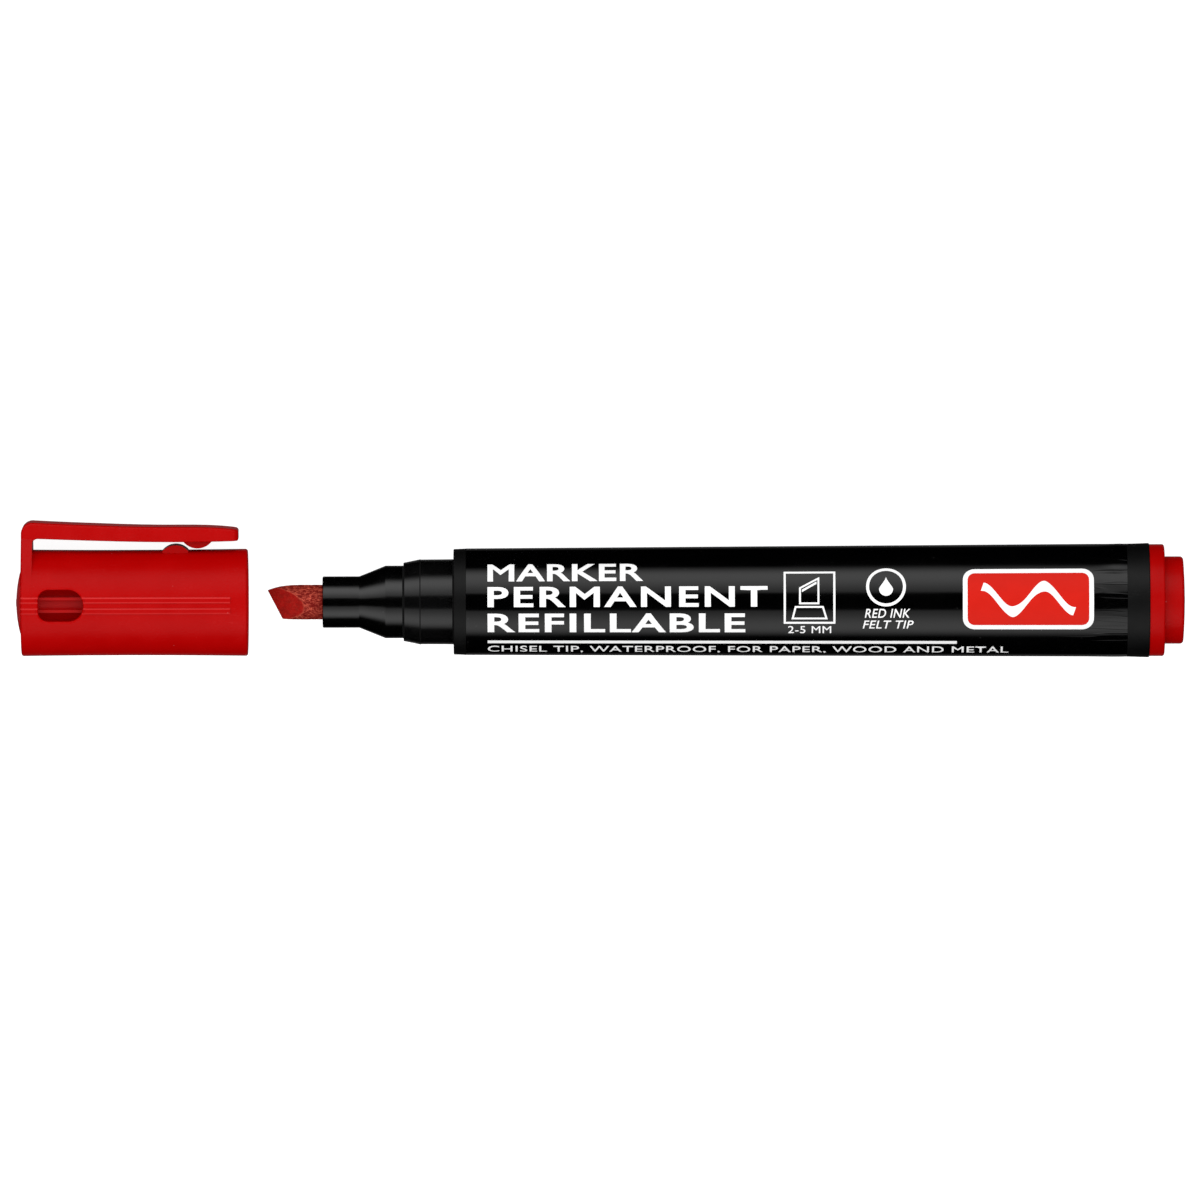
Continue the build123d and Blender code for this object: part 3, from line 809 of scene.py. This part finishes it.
@dataclass
class Nose:
    """The stepped black nib holder and the red felt nib."""

    lie: Lie
    finishes: Finishes
    stock_radius: float = 2.5 * MM
    cell: float = 0.1 * MM
    fibre_height: float = 0.045 * MM
    fray: float = 0.05
    cut_start: float = 0.06
    cut_width: float = 0.12
    rim_middle: float = 0.1
    rim_half: float = 0.09

    def build(self) -> None:
        """Dresses the holder and makes the nib."""
        dress_node("nib_holder", self.finishes.holder)
        self._nib()

    def _fibre(self, point: Vector) -> float:
        """How much a fibre stands out at a point of the upright nib, from 0 to 1."""
        x, y, z = point / MM
        sway = 0.9 * noise.noise(Vector((x * 0.9, y * 0.9, z * 0.9)))
        long_threads = noise.noise(Vector((x * 1.3, (y + sway) * 3.4, (z + sway) * 3.4)))
        aslant = Vector(((x + z) * 1.9, y * 2.3, (z - 0.4 * x) * 2.6))
        crossing = noise.noise(aslant + Vector((7.0, 3.0, 1.0)))
        ridge = 1.0 - min(1.0, abs(long_threads) * 2.6)
        clump = 0.5 + 0.5 * crossing
        return max(0.0, min(1.0, 0.62 * ridge * ridge + 0.5 * clump))

    def _nib(self) -> None:
        """Makes the nib: an even fine mesh of the CAD shape, with real fibres on its pressed skin."""
        source = merged_copy("nib")
        source.transform(self.lie.place().inverted())
        rough = bpy.data.meshes.new("nib_source")
        source.to_mesh(rough)
        source.free()
        carrier = new_object("nib_source", rough)
        remesh = carrier.modifiers.new("even_cells", "REMESH")
        remesh.mode = "VOXEL"
        remesh.voxel_size = self.cell
        bm = as_mesh(carrier)
        bmesh.ops.smooth_vert(
            bm, verts=bm.verts, factor=0.5, use_axis_x=True, use_axis_y=True, use_axis_z=True
        )
        layers = {name: bm.verts.layers.float.new(name) for name in ("fibre", "cut", "rim")}
        bm.normal_update()
        moves = {}
        for vertex in bm.verts:
            radius = math.hypot(vertex.co.y, vertex.co.z)
            frayed = self.fray * noise.noise(vertex.co / MM * 1.7)
            inset = (self.stock_radius - radius) / MM + frayed
            cut = max(0.0, min(1.0, (inset - self.cut_start) / self.cut_width))
            fibre = self._fibre(vertex.co)
            vertex[layers["fibre"]] = fibre
            vertex[layers["cut"]] = cut
            vertex[layers["rim"]] = max(0.0, 1.0 - abs(inset - self.rim_middle) / self.rim_half)
            lift = self.fibre_height * (fibre - 0.75) * (1.0 - 0.75 * cut)
            moves[vertex] = vertex.normal * min(0.0, lift)
        for vertex, move in moves.items():
            vertex.co += move
        bm.transform(self.lie.place())
        nib = finish_piece("felt_nib", bm, self.finishes.felt, Body.MARKER, math.radians(80.0))
        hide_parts("nib")


# ---------------------------------------------------------------------------------------------
# Barrel: moulding, label film and prints
# ---------------------------------------------------------------------------------------------


@dataclass(frozen=True)
class Room:
    """The room for a print: its stations in millimetres, and its angles above the reader's line of sight."""

    start: float
    end: float
    top: float
    bottom: float


@dataclass
class LabelPrint:
    """Flat artwork for the label, which is wrapped round the film as a thin raised layer.

    Flat artwork has X as the station behind the shoulder and Y as the distance round the film,
    up from the side that faces a reader, both in metres.
    """

    lie: Lie
    finishes: Finishes
    film_radius: Callable[[float], float]
    reader_tilt: float = math.radians(3.7)
    wrap_radius: float = 7.87 * MM
    slice_pitch: float = 0.22 * MM
    lift: float = 0.014 * MM
    thickness: float = 0.02 * MM

    def round_to(self, degrees: float) -> float:
        """The distance round the film for an angle above the reader's line of sight."""
        return (math.radians(degrees) + self.reader_tilt) * self.wrap_radius

    def wrap(self, name: str, bm: bmesh.types.BMesh, red: bool = False, layers: int = 1) -> None:
        """Wraps flat artwork round the film and makes it a piece.

        Args:
            name: the piece's name.
            bm: the flat artwork, which is used up.
            red: True for red ink and False for white.
            layers: how many printed layers up it lies.
        """
        slice_across(bm, 1, self.slice_pitch)
        bmesh.ops.triangulate(bm, faces=[face for face in bm.faces if len(face.verts) > 4])
        for vertex in bm.verts:
            angle = vertex.co.y / self.wrap_radius
            radius = self.film_radius(vertex.co.x / MM) + self.lift * layers
            x = self.lie.shoulder_x + vertex.co.x
            vertex.co = (x, -radius * math.cos(angle), radius * math.sin(angle))
        bm.normal_update()
        bmesh.ops.solidify(bm, geom=bm.faces[:], thickness=self.thickness)
        bmesh.ops.recalc_face_normals(bm, faces=bm.faces)
        bm.transform(self.lie.place())
        ink = self.finishes.red_print if red else self.finishes.white_print
        finish_piece(name, bm, ink, Body.MARKER)

    def _lettering_mesh(self, words: str, weight: float, slant: float, spacing: float) -> bmesh.types.BMesh:
        """Flat letters of the built-in font, one unit high.

        Args:
            words: what they say.
            weight: how far their outlines are moved out.
            slant: how far they lean.
            spacing: the spacing between them, 1 as usual.

        Returns:
            The letters as a flat mesh.
        """
        curve = bpy.data.curves.new("lettering", "FONT")
        curve.body = words
        curve.shear = slant
        curve.space_character = spacing
        curve.resolution_u = 4
        bm = as_mesh(new_object("lettering", curve))
        bmesh.ops.remove_doubles(bm, verts=bm.verts, dist=0.018)
        thicken(bm, weight)
        return bm

    def letters(
        self, name: str, words: str, start: float, end: float, degrees: float, height: float,
        weight: float = 0.0, slant: float = 0.0, spacing: float = 1.06,
    ) -> None:
        """Prints one line of words that fills the room between two stations.

        Args:
            name: the piece's name.
            words: what the line says.
            start: the station where it starts, in millimetres.
            end: the station where it ends, in millimetres.
            degrees: the angle of its middle above the reader's line of sight.
            height: the height of its capitals, in millimetres round the film.
            weight: how far the outlines are moved out, as a share of the font's size.
            slant: how far the letters lean.
            spacing: the spacing between the letters, 1 as usual.
        """
        bm = self._lettering_mesh(words, weight, slant, spacing)
        xs = [vertex.co.x for vertex in bm.verts]
        ys = [vertex.co.y for vertex in bm.verts]
        scale_x = (end - start) * MM / (max(xs) - min(xs))
        scale_y = height * MM / (max(ys) - min(ys))
        for vertex in bm.verts:
            vertex.co.x = start * MM + (vertex.co.x - min(xs)) * scale_x
            vertex.co.y = self.round_to(degrees) + (vertex.co.y - (min(ys) + max(ys)) / 2) * scale_y
            vertex.co.z = 0.0
        self.wrap(name, bm)

    def _outline(self, corners: list[tuple[float, float]], middle: tuple[float, float]) -> bmesh.types.BMesh:
        """One flat face.

        Args:
            corners: its corners in millimetres, the other way from a clock's hands.
            middle: the station in millimetres and the distance round in metres that they are set out from.

        Returns:
            The face as a mesh.
        """
        bm = bmesh.new()
        station, height = middle
        bm.faces.new([bm.verts.new(((station + x) * MM, height + y * MM, 0.0)) for x, y in corners])
        return bm

    def _frame_of(self, bm: bmesh.types.BMesh, line: float) -> bmesh.types.BMesh:
        """Leaves only an outline of a flat face, with a line of that many millimetres."""
        bm.normal_update()
        inner = bmesh.ops.inset_region(
            bm, faces=bm.faces[:], thickness=line * MM, use_boundary=True, use_even_offset=True
        )
        ring = set(inner["faces"])
        bmesh.ops.delete(bm, geom=[face for face in bm.faces if face not in ring], context="FACES")
        return bm

    def _middle(self, room: Room) -> tuple[float, float]:
        """The middle of a room on the label, as a station in millimetres and a distance round in metres."""
        return (room.start + room.end) / 2, (self.round_to(room.top) + self.round_to(room.bottom)) / 2

    def _rectangle(self, room: Room, shrink: float = 0.0) -> bmesh.types.BMesh:
        """A flat rectangle that fills a room, or is smaller all round by that many millimetres."""
        half_width = (room.end - room.start) / 2 - shrink
        half_height = (self.round_to(room.top) - self.round_to(room.bottom)) / 2 / MM - shrink
        corners = [(x * half_width, y * half_height) for x, y in ((-1, -1), (1, -1), (1, 1), (-1, 1))]
        return self._outline(corners, self._middle(room))

    def _rounded_panel(self, room: Room, corner: float, shrink: float = 0.0) -> bmesh.types.BMesh:
        """A flat panel with round corners.

        Args:
            room: the room that it fills.
            corner: the radius of its corners in millimetres.
            shrink: how much smaller it is all round, in millimetres.

        Returns:
            The panel as a mesh.
        """
        bm = self._rectangle(room, shrink)
        bmesh.ops.bevel(
            bm, geom=bm.verts[:], offset=max(0.2, corner - shrink) * MM, offset_type="OFFSET",
            affect="VERTICES", segments=8, profile=0.5, material=-1,
        )
        return bm

    def tip_mark(self) -> None:
        """Prints the framed picture of a chisel tip and its width below it."""
        room = Room(start=47.3, end=54.7, top=32.0, bottom=-24.5)
        line = 0.26
        tip = self._outline([(-1.5, -1.0), (1.4, -1.0), (1.4, 3.0), (-1.5, 1.4)], self._middle(room))
        stroke = self._outline([(-1.1, 0.75), (1.0, 1.95), (1.0, 2.3), (-1.1, 1.1)], self._middle(room))
        collar = self._outline([(-2.6, -3.2), (2.6, -3.2), (2.0, -1.25), (-2.1, -1.25)], self._middle(room))
        self.wrap("print_tip_frame", self._frame_of(self._rectangle(room), 0.3))
        self.wrap("print_tip", self._frame_of(tip, line))
        self.wrap("print_tip_edge", stroke)
        self.wrap("print_tip_collar", self._frame_of(collar, line))
        self.letters("print_tip_width", "2-5 MM", 47.9, 54.1, -31.5, 1.2, 0.004)

    def ink_mark(self) -> None:
        """Prints the ring with an ink drop and two short words below it."""
        start, end = 59.1, 64.8
        radius = (end - start) / 2
        height = (self.round_to(35.4) + self.round_to(-5.7)) / 2
        ring = bmesh.new()
        place = Matrix.Translation(((start + radius) * MM, height, 0.0))
        bmesh.ops.create_circle(ring, cap_ends=True, segments=64, radius=radius * MM, matrix=place)
        self.wrap("print_ring", self._frame_of(ring, 0.42))
        drop = bmesh.new()
        bmesh.ops.create_circle(drop, cap_ends=True, segments=40, radius=1.0 * MM)
        for vertex in drop.verts:
            rise = max(0.0, vertex.co.y / MM)
            vertex.co.x *= 1.0 - 0.92 * rise ** 1.6
            vertex.co.y *= 1.0 + 0.75 * rise
        bmesh.ops.translate(drop, verts=drop.verts, vec=((start + radius) * MM, height - 0.35 * MM, 0.0))
        self.wrap("print_drop", drop)
        self.letters("print_ink_colour", "RED INK", 58.9, 65.4, -13.2, 1.3, 0.008, 0.22)
        self.letters("print_ink_refill", "FELT TIP", 58.6, 65.9, -25.5, 1.25, 0.008, 0.22)

    def badge(self) -> None:
        """Prints the red panel with its white border and a wavy chisel stroke."""
        room = Room(start=72.95, end=91.7, top=34.0, bottom=-31.0)
        corner, border, overlap = 1.7, 0.68, 0.02
        self.wrap("print_badge_border", self._frame_of(self._rounded_panel(room, corner), border))
        self.wrap("print_badge_panel", self._rounded_panel(room, corner, border - overlap), red=True)
        self._stroke(*self._middle(room))

    def _stroke(self, station: float, height: float) -> None:
        """Prints a wavy stroke, thick and thin as a chisel tip draws it.

        Args:
            station: the station of its middle, in millimetres.
            height: the distance of its middle round the film, in metres.
        """
        bm = bmesh.new()
        bmesh.ops.create_grid(bm, x_segments=72, y_segments=1, size=1.0)
        half_length, swing, waves = 6.6, 1.75, 1.5
        thick, thin = 0.95, 0.28
        for vertex in bm.verts:
            along, side = vertex.co.x, vertex.co.y
            turn = along * waves * math.pi
            slope = math.cos(turn)
            swell = 0.5 + 0.5 * math.sin(math.atan(slope * 1.6) + 0.5)
            half = (thin + (thick - thin) * swell) * (1.0 - 0.25 * along ** 8)
            lean = 0.35 * side * half
            vertex.co.x = (station + along * half_length + lean) * MM
            vertex.co.y = height + (swing * math.sin(turn) + side * half) * MM
        self.wrap("print_badge_stroke", bm, layers=2)

    def build(self) -> None:
        """Prints the whole label."""
        left, rule_end, rule_half = 4.9, 72.1, 0.29
        height, weight = 3.0, 0.022
        self.letters("print_line_1", "MARKER", left, 27.2, 33.0, height, weight)
        self.letters("print_line_2", "PERMANENT", left, 45.0, 5.0, height, weight, spacing=1.16)
        self.letters("print_line_3", "REFILLABLE", left, 41.8, -23.8, height, weight, spacing=1.12)
        corners = [(left, -rule_half), (rule_end, -rule_half), (rule_end, rule_half), (left, rule_half)]
        self.wrap("print_rule", self._outline(corners, (0.0, self.round_to(-48.7))))
        small_line = "CHISEL TIP, WATERPROOF, FOR PAPER, WOOD AND METAL"
        self.letters("print_small_line", small_line, left, 79.5, -63.0, 2.1, 0.006)
        self.tip_mark()
        self.ink_mark()
        self.badge()


@dataclass
class Barrel:
    """The black barrel with its glossy label film, its prints and the ink reservoir inside."""

    lie: Lie
    finishes: Finishes
    label_start: float = 1.78
    label_end: float = 96.56
    front_radius: float = 7.64
    rear_radius: float = 8.105
    film: float = 0.1
    edge: float = 0.03
    ripple: float = 0.09
    ripple_length: float = 6.0
    turns: int = 224

    def film_radius(self, station: float) -> float:
        """The film's outer radius in metres at a station in millimetres."""
        share = (station - self.label_start) / (self.label_end - self.label_start)
        return (self.front_radius + (self.rear_radius - self.front_radius) * share) * MM

    def build(self) -> None:
        """Dresses the barrel and reservoir, and makes the film and its prints."""
        dress_node("barrel", self.finishes.barrel)
        dress_node("ink_reservoir", self.finishes.fibre)
        dress_node("reservoir_wrap", self.finishes.wrap)
        self._film()
        LabelPrint(self.lie, self.finishes, self.film_radius).build()

    def _ripple(self, station: float, angle: float) -> float:
        """How far the film stands off in metres: it is only uneven near its rear end."""
        into = max(0.0, 1.0 - (self.label_end - 0.4 - station) / self.ripple_length)
        fade = min(1.0, max(0.0, (self.label_end - 0.3 - station) / 0.8))
        around = Vector((math.cos(angle) * 7.0, math.sin(angle) * 7.0, station * 0.17))
        gentle = 0.02 * noise.noise(Vector((math.cos(angle) * 1.4, math.sin(angle) * 1.4, station * 0.05)))
        return self.ripple * MM * (into * into * fade * noise.noise(around) * 1.6 + gentle * fade)

    def _film(self) -> None:
        """Makes the film: a thin tapered sleeve with soft ends and faint ripples near the rear."""
        divisions = 96
        front, rear = self.lie.along(self.label_start), self.lie.along(self.label_end)
        span = self.label_end - self.label_start
        stations = [self.label_start + self.edge]
        stations += [self.label_start + span * number / divisions for number in range(1, divisions)]
        stations += [self.label_end - self.edge]
        profile = [(front, (self.front_radius - depth) * MM) for depth in (self.film, self.edge)]
        profile += [(self.lie.along(station), self.film_radius(station)) for station in stations]
        profile += [(rear, (self.rear_radius - depth) * MM) for depth in (self.edge, self.film)]
        bm = spun(profile, self.turns, self.lie)
        bm.transform(self.lie.place().inverted())
        for vertex in bm.verts:
            station = (vertex.co.x - self.lie.shoulder_x) / MM
            radius = math.hypot(vertex.co.y, vertex.co.z)
            if radius > self.film_radius(station) - 0.01 * MM:
                angle = math.atan2(vertex.co.z, vertex.co.y)
                factor = 1.0 + self._ripple(station, angle) / radius
                vertex.co.y *= factor
                vertex.co.z *= factor
        bm.transform(self.lie.place())
        film = finish_piece("label_film", bm, self.finishes.film, Body.MARKER)
        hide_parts("label_sleeve")


# ---------------------------------------------------------------------------------------------
# Cap and tail
# ---------------------------------------------------------------------------------------------


@dataclass
class Cap:
    """The red cap: its shell, inner cap and clip."""

    lie: Lie
    finishes: Finishes
    split: float = 3.5
    bend_length: float = 6.0
    clip_height: float = 10.4
    cut_pitch: float = 0.5 * MM

    def build(self) -> None:
        """Dresses the shell and inner cap, and makes the clip."""
        dress_node("cap_shell", self.finishes.cap)
        dress_node("inner_cap", self.finishes.inner_cap)
        self._clip()
        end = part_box("inner_cap")[0].x
        gate_mark("crown_gate_mark", self.lie, end, -1.0, self.finishes.inner_cap, Body.CAP)

    def _clip(self) -> None:
        """Makes the clip: the CAD shape, cut in fine slices along its length, with its transform baked in."""
        bm = merged_copy("clip_arm")
        slice_across(bm, 0, self.cut_pitch)
        bmesh.ops.triangulate(bm, faces=[face for face in bm.faces if len(face.verts) > 4])
        clip = finish_piece("pocket_clip", bm, self.finishes.cap, Body.CLIP, math.radians(28.0))
        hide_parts("clip_arm")
        # The ride that finish_piece gives is taken off again.
        clip.parent = None
        start_x = self.lie.cap_x + self.split * MM
        start = self.lie.point(start_x, 0.0, self.clip_height * MM)
        end = self.lie.point(start_x + self.bend_length * MM, 0.0, self.clip_height * MM)
        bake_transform(clip)


def gate_mark(
    name: str, lie: Lie, x: float, outward: float, material: bpy.types.Material, body: Body
) -> None:
    """Makes the small round mark that the moulding's gate leaves in the middle of an end face.

    Args:
        name: the piece's name.
        lie: how the marker lies.
        x: the X of the end face's middle.
        outward: +1 if the face looks along +X and -1 if it looks along -X.
        material: its material.
        body: the body that it moves with.
    """
    radius, pinhole, chamfer = 0.55 * MM, 0.02 * MM, 0.08 * MM
    height, dimple, root = 0.035 * MM, 0.05 * MM, 0.1 * MM
    profile = [
        (x - outward * root, pinhole),
        (x - outward * root, radius),
        (x + outward * height * 0.4, radius),
        (x + outward * height, radius - chamfer),
        (x + outward * (height - dimple), radius * 0.35),
        (x + outward * (height - dimple), pinhole),
    ]
    finish_piece(name, spun(profile, 40, lie), material, body)


@dataclass
class Tail:
    """The red push-in plug at the tail."""

    lie: Lie
    finishes: Finishes

    def build(self) -> None:
        """Dresses the plug and adds its gate mark."""
        dress_node("end_plug", self.finishes.plug)
        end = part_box("end_plug")[1].x
        gate_mark("plug_gate_mark", self.lie, end, 1.0, self.finishes.plug, Body.PLUG)


# ---------------------------------------------------------------------------------------------
# Studio
# ---------------------------------------------------------------------------------------------


@dataclass
class Studio:
    """A pale floor, two long softboxes, an even surround and the camera.

    The softboxes are placed by their angle above the reader's side of the upright marker, so
    that each is one clear band along the glossy label.
    """

    lie: Lie
    camera_distance: float = 3.0
    camera_height: float = math.radians(3.7)
    frame_width: float = 0.1722
    camera_roll: float = math.radians(0.14)
    sensor: float = 36.0
    box_distance: float = 1.3
    box_length: float = 3.2

    def build(self) -> None:
        """Builds the floor, lights, surround and camera."""
        self._floor()
        self._softbox("softbox_clip_side", low=19.0, high=84.0, radiance=1.0, inner_is_high=False)
        self._softbox("softbox_far_side", low=-79.0, high=-14.0, radiance=0.8, inner_is_high=True)
        self._surround()
        self._camera()

    def _view(self, degrees: float) -> Vector:
        """The row frame direction that lies that many degrees from the reader towards the clip."""
        angle = math.radians(degrees)
        return self.lie.direction(0.0, -math.cos(angle), math.sin(angle))

    def _softbox(self, name: str, low: float, high: float, radiance: float, inner_is_high: bool) -> None:
        """Adds a long softbox.

        Args:
            name: the light's name.
            low: the angle of its lower edge from the reader towards the clip, in degrees.
            high: the angle of its upper edge.
            radiance: how bright its face is.
            inner_is_high: True if the edge next to the reader's line, where it fades, is its upper one.
        """
        width = 2.0 * self.box_distance * math.tan(math.radians((high - low) / 2))
        light = bpy.data.lights.new(name, "AREA")
        light.shape = "RECTANGLE"
        light.size = self.box_length
        light.size_y = width
        light.energy = radiance * math.pi * self.box_length * width
        light.use_nodes = True
        light.node_tree.nodes.clear()
        graph = Graph(light.node_tree)
        on_face = graph.add("NewGeometry").outputs["Parametric"]
        across_face = graph.add("SeparateXYZ", {0: on_face}).outputs[1]
        from_outside = across_face if inner_is_high else graph.math("SUBTRACT", 1.0, across_face)
        outer = graph.ramp(from_outside, 0.0, 0.4)
        inner = graph.ramp(from_outside, 0.45, 0.95, 1.0, 0.4)
        edge = graph.ramp(from_outside, 0.92, 1.0, 1.0, 0.0)
        profile = graph.math("MULTIPLY", graph.math("MULTIPLY", outer, inner), edge)
        glow = graph.add("Emission", {"Strength": profile})
        graph.add("OutputLight", {"Surface": glow.outputs[0]})
        lamp = new_object(name, light)
        towards = self._view((low + high) / 2)
        along = Vector((1.0, 0.0, 0.0))
        middle = self.lie.point(0.0, 0.0, 0.0) + towards * self.box_distance
        lamp.matrix_world = Matrix.Translation(middle) @ facing(along, towards.cross(along), towards)
        lamp.visible_camera = False

    def _floor(self) -> None:
        """Adds the pale floor, which shows to the camera and takes only a faint shadow."""
        bm = bmesh.new()
        bmesh.ops.create_grid(bm, x_segments=1, y_segments=1, size=12.0)
        mesh = bpy.data.meshes.new("floor")
        bm.to_mesh(mesh)
        bm.free()
        floor = new_object("floor", mesh)
        floor.location.z = -0.0002
        material, _, shader = new_material("floor_paper")
        shader.inputs["Base Color"].default_value = (0.4, 0.4, 0.4, 1.0)
        shader.inputs["Roughness"].default_value = 0.9
        shader.inputs["Specular IOR Level"].default_value = 0.0
        shader.inputs["Emission Color"].default_value = (1.0, 1.0, 1.0, 1.0)
        shader.inputs["Emission Strength"].default_value = 0.93
        mesh.materials.append(material)
        floor.visible_diffuse = False
        floor.visible_glossy = False
        floor.visible_shadow = False

    def _surround(self) -> None:
        """Sets the surround: white to the camera, soft to matt surfaces, and bright behind for edges."""
        world = bpy.data.worlds.new("surround")
        bpy.context.scene.world = world
        world.use_nodes = True
        world.cycles.sampling_method = "NONE"
        world.node_tree.nodes.clear()
        graph = Graph(world.node_tree)
        path = graph.add("LightPath").outputs
        heading = graph.add("TexCoord").outputs["Generated"]
        behind = -self._view(math.degrees(self.camera_height))
        compared = graph.add("VectorMath", {0: heading, 1: tuple(behind)}, operation="DOT_PRODUCT")
        backward = compared.outputs["Value"]
        fill = graph.math("MULTIPLY", path["Is Diffuse Ray"], graph.ramp(backward, -1.0, 0.3, 1.05, 0.1))
        edge_glow = graph.math("MULTIPLY", path["Is Glossy Ray"], graph.ramp(backward, 0.8, 0.97, 0.0, 0.09))
        strength = graph.math("ADD", graph.math("ADD", fill, edge_glow), path["Is Camera Ray"])
        back = graph.add("Background", {"Color": (1.0, 1.0, 1.0, 1.0), "Strength": strength})
        graph.add("OutputWorld", {"Surface": back.outputs[0]})

    def _camera(self) -> None:
        """Adds the camera, a little above the reader's line to the axis."""
        camera = bpy.data.cameras.new("camera")
        camera.sensor_width = self.sensor
        camera.lens = self.sensor * self.camera_distance / self.frame_width
        camera.clip_end = 100.0
        eye = new_object("camera", camera)
        back = self._view(math.degrees(self.camera_height))
        right = Vector((1.0, 0.0, 0.0))
        target = self.lie.point(-0.07 * MM, 0.0, 0.2 * MM)
        turn = facing(right, back.cross(right), back) @ Matrix.Rotation(-self.camera_roll, 4, "Z")
        eye.matrix_world = Matrix.Translation(target + back * self.camera_distance) @ turn
        bpy.context.scene.camera = eye
        bpy.context.scene.view_settings.view_transform = "Standard"


def main() -> None:
    """Builds the marker's sub-assemblies and the studio in order."""
    logging.basicConfig(level=logging.INFO, format="%(name)s %(message)s")
    lie = Lie.read()
    finishes = Finishes(lie)
    for assembly in (Nose(lie, finishes), Barrel(lie, finishes), Cap(lie, finishes), Tail(lie, finishes)):
        assembly.build()
        log.info("%s built", type(assembly).__name__)
    Studio(lie).build()


if __name__ == "__main__":
    main()
